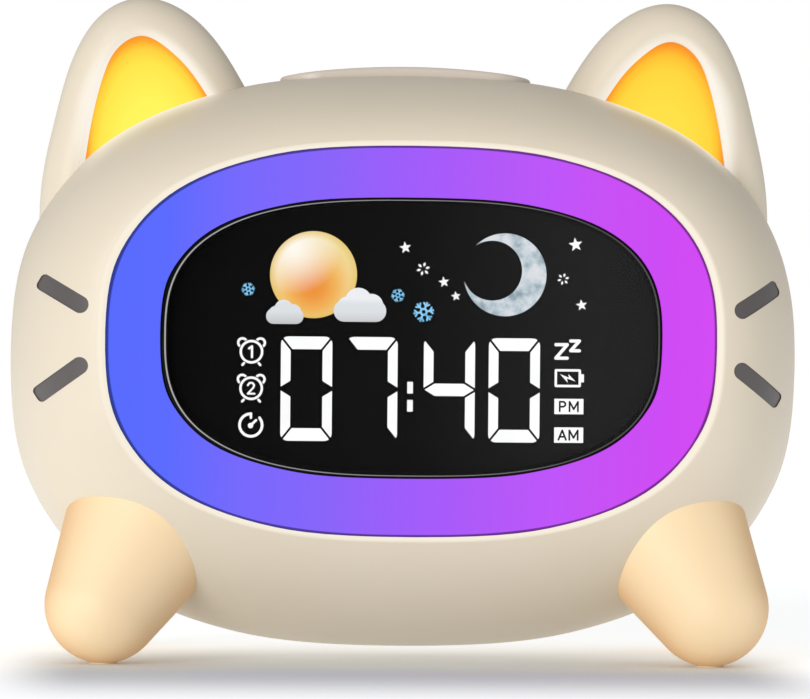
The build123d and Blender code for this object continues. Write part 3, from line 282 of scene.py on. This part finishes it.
def painted_shoulder_light(tree, coordinates):
    """Painted light from both panels on the crown of the front shell, just ahead of them."""
    axes = add(tree, "ShaderNodeSeparateXYZ", links={0: coordinates})
    sideways = add(tree, "ShaderNodeMath", {"operation": "ABSOLUTE"}, links={0: axes.outputs["X"]})
    shares = []
    for source, span, ends in ((sideways.outputs[0], shoulder_inner, (0.0, 1.0)),
                               (sideways.outputs[0], shoulder_outer, (1.0, 0.0)),
                               (axes.outputs["Y"], shoulder_depths, (0.0, shoulder_share)),
                               (axes.outputs["Z"], shoulder_heights, (0.0, 1.0))):
        share = add(tree, "ShaderNodeMapRange", smooth, change(*span, *ends), {"Value": source})
        shares.append(share.outputs["Result"])
    return all_of(tree, *shares)


def from_rounded_outline(tree, coordinates, centre_z, half_width, half_height, fullness):
    """Below 1 inside a rounded outline of the front, 1 on it and more outside."""
    axes = add(tree, "ShaderNodeSeparateXYZ", links={0: coordinates})
    powers = []
    for axis, centre, half in (("X", 0.0, half_width), ("Z", centre_z, half_height)):
        off = add(tree, "ShaderNodeMath", {"operation": "SUBTRACT"}, {1: centre}, {0: axes.outputs[axis]})
        size = add(tree, "ShaderNodeMath", {"operation": "ABSOLUTE"}, links={0: off.outputs[0]})
        share = add(tree, "ShaderNodeMath", {"operation": "DIVIDE"}, {1: half}, {0: size.outputs[0]})
        power = add(tree, "ShaderNodeMath", {"operation": "POWER"}, {1: fullness}, {0: share.outputs[0]})
        powers.append(power.outputs[0])
    both = add(tree, "ShaderNodeMath", {"operation": "ADD"}, links={0: powers[0], 1: powers[1]})
    return both.outputs[0]


ring_centre_z = 0.0604
ring_fullness = 2.6
opening_half_width = 0.05675
opening_half_height = 0.03625
opening_glow = (1.025, 1.08)
opening_share = 0.85


def painted_front_light(tree, coordinates):
    """Painted light on the shoulder, and a painted highlight on the pale edge of the opening for the ring's
    light inside it.
    """
    out = from_rounded_outline(tree, coordinates, ring_centre_z, opening_half_width, opening_half_height,
                               ring_fullness)
    edge = add(tree, "ShaderNodeMapRange", smooth, change(*opening_glow, opening_share, 0.0), {"Value": out})
    whole = add(tree, "ShaderNodeMath", {"operation": "MAXIMUM"},
                links={0: edge.outputs["Result"], 1: painted_shoulder_light(tree, coordinates)})
    return whole.outputs[0]


cream_base = "#DBD0BD"
cream_shade = "#D6CBB7"
cream_roughness = 0.46
cream_grain = 0.02 * millimetre
front_abs = moulded("satin_cream_abs_front", cream_base, cream_shade, cream_roughness, cream_grain,
                    spill=painted_front_light, painted_light_hex="#FFF6E4")
dress(front_abs, "front_shell")
for side, name in ((-1, "ear_shell_left"), (1, "ear_shell_right")):
    ear_abs = moulded("satin_cream_abs_" + name, cream_base, cream_shade, cream_roughness, cream_grain,
                      spill=lambda tree, coordinates, side=side: painted_rim_light(tree, coordinates, side))
    dress(ear_abs, name)
cream_abs = moulded("satin_cream_abs", cream_base, cream_shade, cream_roughness, cream_grain)
dress(cream_abs, "rear_shell")

# the bar is the same plastic, smoother and a touch darker and greyer
bar_abs = moulded("satin_cream_abs_bar", "#D0C6BB", "#CCC1B5", 0.40, 0.015 * millimetre)
dress(bar_abs, "snooze_bar")


# ---- legs ----------------------------------------------------------------------------
# Four stub legs, each one moulding in a peach-tan soft-touch plastic, paler and warmer than
# the case, with painted shade on its flanks, held by a screw from inside. Each has a round
# rubber pad let into its sole, matt and a little darker than the leg.

# the flank colour paints shade on each leg's flanks
peach_plastic = moulded("soft_touch_peach", "#F7DDB5", "#F5D8AB", 0.52, 0.012 * millimetre,
                        grain=0.5 * millimetre, flank_shade_hex="#E4B67E")
dress(peach_plastic, "front_leg_left", "front_leg_right", "rear_leg_left", "rear_leg_right")
pad_rubber = moulded("tan_pad_rubber", "#DCC29C", "#CFB58F", 0.75, 0.03 * millimetre)
dress(pad_rubber, "foot_pads")


# ---- whiskers ------------------------------------------------------------------------
# Two short bars on each cheek, moulded in satin grey ABS and pressed into shallow pockets
# in the front shell, so that a thin dark joint runs round each.

whisker_abs = moulded("grey_whisker_abs", "#555050", "#4F4A49", 0.42, 0.012 * millimetre)
dress(whisker_abs, "whiskers_left", "whiskers_right")


# ---- glowing ears --------------------------------------------------------------------
# A milky diffuser lies in each ear over a small board with one lamp. It is lit through:
# lemon yellow low in the middle, where the lamp is, and orange where the ear narrows.

lit_share = 0.94
lit_strength = 1 / lit_share
diffuser_ior = 1.58


def lit_plastic(tree, glow, strength, body_hex, share, roughness=0.35):
    """A translucent plastic lit from behind: mostly its own light, with a plain satin skin.

    Strength is a number or an output that gives one."""
    skin = add(tree, "ShaderNodeBsdfPrincipled",
               values={"Base Color": colour(body_hex), "Roughness": roughness, "IOR": diffuser_ior})
    light = add(tree, "ShaderNodeEmission", links={"Color": glow})
    if isinstance(strength, float):
        light.inputs["Strength"].default_value = strength
    else:
        tree.links.new(strength, light.inputs["Strength"])
    both = add(tree, "ShaderNodeMixShader", values={0: share},
               links={1: skin.outputs[0], 2: light.outputs[0]})
    add(tree, "ShaderNodeOutputMaterial", links={"Surface": both.outputs[0]})


# the glow fades along the panel's own outline, and a little sooner where the ear narrows
diffuser_outline = 1.14
narrow_heights = (0.0994, 0.1184)
narrow_fade = 0.02
for side, node, stops in (
    (-1, "ear_panel_left", ((0.0, "#FFF663"), (0.50, "#FFF15A"), (0.74, "#FEE34A"), (0.83, "#FDCD3C"),
                            (0.88, "#FBA42A"), (0.93, "#EE7C1A"))),
    (1, "ear_panel_right", ((0.0, "#FFE04F"), (0.50, "#FFDC45"), (0.74, "#FED23C"), (0.83, "#FCBC30"),
                            (0.88, "#FA9826"), (0.93, "#EC761A"))),
):
    diffuser, tree = blank_material("milky_diffuser_" + node)
    place = add(tree, "ShaderNodeTexCoord")
    axes = add(tree, "ShaderNodeSeparateXYZ", links={0: place.outputs["Object"]})
    narrowing = add(tree, "ShaderNodeMapRange", smooth, change(*narrow_heights, 0.0, narrow_fade),
                    {"Value": axes.outputs["Z"]})
    away = add(tree, "ShaderNodeMath", {"operation": "MULTIPLY_ADD"}, {1: 1 / diffuser_outline},
               {0: out_from_panel(tree, side), 2: narrowing.outputs["Result"]})
    glow = add(tree, "ShaderNodeValToRGB", links={"Fac": away.outputs[0]}, stops=stops)
    lit_plastic(tree, glow.outputs["Color"], lit_strength, "#FFC850", lit_share)
    dress(diffuser, node)


# ---- light ring ----------------------------------------------------------------------
# A flat milky ring round the display, over a tray of coloured lamps that slide from blue on
# the left through violet to magenta. Its matt skin hides the lamps, and its flange, held
# under the edge of the case, is dim.

ring_half_width = 0.0565
ring_half_height = 0.036
flange_start = (0.975, 0.990)
flange_strength = 0.3 * lit_strength
ring_diffuser, tree = blank_material("milky_ring_diffuser")
place = add(tree, "ShaderNodeTexCoord")
axes = add(tree, "ShaderNodeSeparateXYZ", links={0: place.outputs["Object"]})
across = add(tree, "ShaderNodeMapRange", values=change(-ring_half_width, ring_half_width),
             links={"Value": axes.outputs["X"]})
glow = add(tree, "ShaderNodeValToRGB", links={"Fac": across.outputs["Result"]}, stops=(
    (0.0, "#566AFC"), (0.10, "#5A6AFE"), (0.23, "#7868FC"), (0.32, "#8265FB"), (0.40, "#9061F9"),
    (0.48, "#9D5CFA"), (0.56, "#A859FA"), (0.645, "#B357F8"), (0.73, "#BE54FA"), (0.81, "#C74FF4"),
    (0.92, "#CE49F5"), (1.0, "#D349F4"),
))
out = from_rounded_outline(tree, place.outputs["Object"], ring_centre_z, ring_half_width, ring_half_height,
                           ring_fullness)
flange = add(tree, "ShaderNodeMapRange", smooth, change(*flange_start, lit_strength, flange_strength),
             {"Value": out})
lit_plastic(tree, glow.outputs["Color"], flange.outputs["Result"], "#303030", lit_share, roughness=0.6)
dress(ring_diffuser, "light_ring")


# ---- display -------------------------------------------------------------------------
# A smoked acrylic lens over a black printed mask. The mask's clear windows, lit from the
# board behind, make the digits and the small pictures; all else stays black.

# the lens: polished, nearly clear in front, with a painted reflection that greys it towards the
# right, and a dark bevel round it with one thin painted highlight
lens_centre_z = 0.061
lens_half_width = 0.0463
lens_half_height = 0.0258
lens_fullness = 2.75
reflection_half_width = 0.046
bevel_start = (0.950, 0.958)
shine_end = (0.968, 0.976)
acrylic_ior = 1.49
pane_cover = 0.12
smoked_acrylic, tree = blank_material("smoked_acrylic")
place = add(tree, "ShaderNodeTexCoord")
axes = add(tree, "ShaderNodeSeparateXYZ", links={0: place.outputs["Object"]})
reflection_across = add(tree, "ShaderNodeMapRange", values=change(-reflection_half_width, reflection_half_width),
           links={"Value": axes.outputs["X"]})
# painted reflection: the lens greys from left to right
painted_reflection = add(tree, "ShaderNodeValToRGB", links={"Fac": reflection_across.outputs["Result"]},
            stops=((0.0, "#060606"), (0.5, "#242424"), (0.85, "#474747"), (1.0, "#474747")))
out = from_rounded_outline(tree, place.outputs["Object"], lens_centre_z, lens_half_width, lens_half_height,
                           lens_fullness)
bevel = add(tree, "ShaderNodeMapRange", smooth, change(*bevel_start), {"Value": out})
within = add(tree, "ShaderNodeMapRange", smooth, change(*shine_end, 1.0, 0.0), {"Value": out})
dark = add(tree, "ShaderNodeMix", {"data_type": "RGBA"}, {"B": colour("#040404")},
           {"Factor": bevel.outputs["Result"], "A": painted_reflection.outputs["Color"]})
# painted highlight: the thin bright line on the bevel, paler on the left
painted_bevel_highlight = add(tree, "ShaderNodeValToRGB", links={"Fac": reflection_across.outputs["Result"]},
               stops=((0.0, "#A0A0A0"), (0.55, "#808080"), (0.85, "#4A4A4A")))
tint = add(tree, "ShaderNodeMix", {"data_type": "RGBA"}, links={
    "Factor": all_of(tree, bevel.outputs["Result"], within.outputs["Result"]),
    "A": dark.outputs["Result"],
    "B": painted_bevel_highlight.outputs["Color"],
})
cover = add(tree, "ShaderNodeMapRange", values=change(0.0, 1.0, pane_cover, 1.0),
            links={"Value": bevel.outputs["Result"]})
pane = add(tree, "ShaderNodeBsdfPrincipled",
           values={"Roughness": 0.09, "IOR": acrylic_ior, "Specular IOR Level": 0.08},
           links={"Base Color": tint.outputs["Result"], "Alpha": cover.outputs["Result"]})
add(tree, "ShaderNodeOutputMaterial", links={"Surface": pane.outputs[0]})
dress(smoked_acrylic, "display_lens")

# the mask and the housing: screen ink and black ABS, both dead matt behind the lens
mask_ink = moulded("black_mask_ink", "#050505", "#070707", 0.9, 0.0005 * millimetre, specular=0.05)
dress(mask_ink, "display_mask")
housing_abs = moulded("black_housing_abs", "#080808", "#0B0B0B", 0.7, 0.01 * millimetre, specular=0.1)
dress(housing_abs, "display_housing")

through_lens = 1.32
window_body = "#202020"
window_share = 0.98


def flat_glow(name, hex_code, edge_hex, spot=0.9 * millimetre):
    """A window lit almost evenly: the lamps behind leave faint softer patches."""
    material, tree = blank_material(name)
    place = add(tree, "ShaderNodeTexCoord")
    patches = add(tree, "ShaderNodeTexNoise", values={"Scale": 1 / spot, "Detail": 1.0},
                  links={"Vector": place.outputs["Object"]})
    glow = add(tree, "ShaderNodeValToRGB", links={"Fac": patches.outputs["Fac"]},
               stops=((0.25, edge_hex), (0.55, hex_code)))
    lit_plastic(tree, glow.outputs["Color"], through_lens, window_body, window_share)
    return material


# digits, status figures and stars: clean white; snowflakes: light blue
white_glow = flat_glow("lit_white_windows", "#FFFFFF", "#FAFBFC", 6 * millimetre)
dress(white_glow, "digit_segments", "status_windows")
dress(flat_glow("lit_star_windows", "#FFFFFF", "#F2F4F6"), "star_windows")
dress(flat_glow("lit_snow_windows", "#8FD0F6", "#4FA6DC"), "snowflake_windows")

# sun: white and cream at the upper left, deep orange low in the middle, gold round the rim
sun_x = -0.01835
sun_z = 0.0726
sun_radius = 8.05 * millimetre
sun_blend = 8.8 * millimetre
orange_offset = (-0.2 * millimetre, -2.2 * millimetre)
cream_offset = (-3.7 * millimetre, 5.0 * millimetre)
sun_glow, tree = blank_material("lit_sun_window")
from_orange = spread_from(tree, (sun_x + orange_offset[0], 0, sun_z + orange_offset[1]),
                          (sun_blend, any_depth, sun_blend))
body = add(tree, "ShaderNodeValToRGB", links={"Fac": from_orange}, stops=(
    (0.0, "#F08C34"), (0.25, "#EE9A42"), (0.5, "#F1B45A"), (0.75, "#F2CD84"), (1.0, "#EFDC9C"),
))
from_cream = spread_from(tree, (sun_x + cream_offset[0], 0, sun_z + cream_offset[1]),
                         (sun_blend, any_depth, sun_blend))
veil = add(tree, "ShaderNodeMapRange", values=change(0.1, 1.0, 0.95, 0.0), links={"Value": from_cream})
cream = add(tree, "ShaderNodeMix", {"data_type": "RGBA"}, {"B": colour("#FFFBF2")},
            {"Factor": veil.outputs["Result"], "A": body.outputs["Color"]})
from_middle = spread_from(tree, (sun_x, 0, sun_z), (sun_radius, any_depth, sun_radius))
rim_share = add(tree, "ShaderNodeMapRange", values=change(0.82, 1.0, 0.0, 0.75),
                links={"Value": from_middle})
gold = add(tree, "ShaderNodeMix", {"data_type": "RGBA"}, {"B": colour("#E6C163")},
           {"Factor": rim_share.outputs["Result"], "A": cream.outputs["Result"]})
lit_plastic(tree, gold.outputs["Result"], through_lens, window_body, window_share)
dress(sun_glow, "sun_window")

# clouds: pale grey, a little darker at the flat base
cloud_heights = (0.0637, 0.0682)
cloud_glow, tree = blank_material("lit_cloud_windows")
place = add(tree, "ShaderNodeTexCoord")
axes = add(tree, "ShaderNodeSeparateXYZ", links={0: place.outputs["Object"]})
rise = add(tree, "ShaderNodeMapRange", values=change(*cloud_heights), links={"Value": axes.outputs["Z"]})
glow = add(tree, "ShaderNodeValToRGB", links={"Fac": rise.outputs["Result"]},
           stops=((0.0, "#C6C8CA"), (0.45, "#DCE0E4"), (0.8, "#DCE2E6"), (1.0, "#EDEFF2")))
lit_plastic(tree, glow.outputs["Color"], through_lens, window_body, window_share)
dress(cloud_glow, "cloud_windows")

# moon: pale grey with soft blue-grey seas
sea_size = 3.4 * millimetre
moon_glow, tree = blank_material("lit_moon_window")
place = add(tree, "ShaderNodeTexCoord")
seas = add(tree, "ShaderNodeTexNoise", values={"Scale": 1 / sea_size, "Detail": 4.0, "Roughness": 0.6},
           links={"Vector": place.outputs["Object"]})
glow = add(tree, "ShaderNodeValToRGB", links={"Fac": seas.outputs["Fac"]},
           stops=((0.34, "#8FA0AB"), (0.45, "#B7C5CE"), (0.55, "#D3DAE0"), (0.68, "#E1E2E4")))
lit_plastic(tree, glow.outputs["Color"], through_lens, window_body, window_share)
dress(moon_glow, "moon_window")


# ---- rear buttons --------------------------------------------------------------------
# Four round push buttons of the case's cream ABS, a touch glossier from handling.

button_abs = moulded("handled_cream_abs", "#DAD0BD", "#D5CAB6", 0.34, 0.01 * millimetre)
dress(button_abs, "button_set", "button_down", "button_up", "button_light")


# ---- works inside the case -----------------------------------------------------------
# The light ring's white tray, the boards with their lamps, chips and switches, the pouch
# cell on its foam tape, and the speaker. They show only through the grille and the socket.

# satin white ABS, and boards with a thin glossy green varnish
tray_abs = moulded("white_tray_abs", "#F1F1EC", "#EBEBE6", 0.35, 0.01 * millimetre)
dress(tray_abs, "ring_reflector")
board_mask = moulded("green_solder_mask", "#1F5B34", "#1A4F2D", 0.3, 0.01 * millimetre, cloud=2 * millimetre)
dress(board_mask, "ring_led_board", "display_board", "main_board", "snooze_board", "ear_led_board_left",
      "ear_led_board_right")

# cast lamps with a clear milky gloss, matt black epoxy chips and smooth brown acetal plungers
lamp_resin = moulded("milky_lamp_resin", "#F4EFD6", "#EDE7CB", 0.25, 0.005 * millimetre)
dress(lamp_resin, "ring_leds", "display_leds", "ear_leds")
chip_epoxy = moulded("black_chip_epoxy", "#1C1C1E", "#242426", 0.55, 0.01 * millimetre)
dress(chip_epoxy, "board_chips", "button_switches", "snooze_switch", "speaker_frame")
plunger_pom = moulded("brown_plunger_pom", "#5A3A28", "#4F3222", 0.4, 0.005 * millimetre)
dress(plunger_pom, "snooze_plunger", "plunger_set", "plunger_down", "plunger_up", "plunger_light")

# the cell's slightly crinkled grey foil, dull foam tape, flexible red leads and fibrous paper
pouch_foil = moulded("grey_pouch_foil", "#C9CDD2", "#BEC3C9", 0.32, 0.02 * millimetre, cloud=6 * millimetre)
dress(pouch_foil, "battery_cell")
foam = moulded("black_foam_tape", "#3A3A3A", "#303030", 0.9, 0.06 * millimetre)
dress(foam, "battery_tape")
lead_pvc = moulded("red_lead_pvc", "#B3261E", "#A5201A", 0.45, 0.005 * millimetre)
dress(lead_pvc, "battery_leads", "speaker_leads")
cone_paper = moulded("black_cone_paper", "#2A2A2C", "#222224", 0.85, 0.05 * millimetre,
                     grain=0.8 * millimetre)
dress(cone_paper, "speaker_cone")


# ---- screws and charging socket ------------------------------------------------------
# Small zinc-plated screws, and the socket's drawn and nickel-plated steel shell: bright,
# with slightly duller patches where the plating is rubbed.

rub_size = 0.8 * millimetre
steel_roughness = (0.2, 0.36)
plated_steel, tree = blank_material("plated_steel")
place = add(tree, "ShaderNodeTexCoord")
rub = add(tree, "ShaderNodeTexNoise", values={"Scale": 1 / rub_size, "Detail": 3.0},
          links={"Vector": place.outputs["Object"]})
gloss = add(tree, "ShaderNodeMapRange", values=change(0.0, 1.0, *steel_roughness),
            links={"Value": rub.outputs["Fac"]})
steel = add(tree, "ShaderNodeBsdfPrincipled", values={"Base Color": colour("#C2C2C4"), "Metallic": 1.0},
            links={"Roughness": gloss.outputs["Result"]})
add(tree, "ShaderNodeOutputMaterial", links={"Surface": steel.outputs[0]})
dress(plated_steel, "usb_socket", "speaker_magnet", "board_screws", "case_screws", "leg_screws")
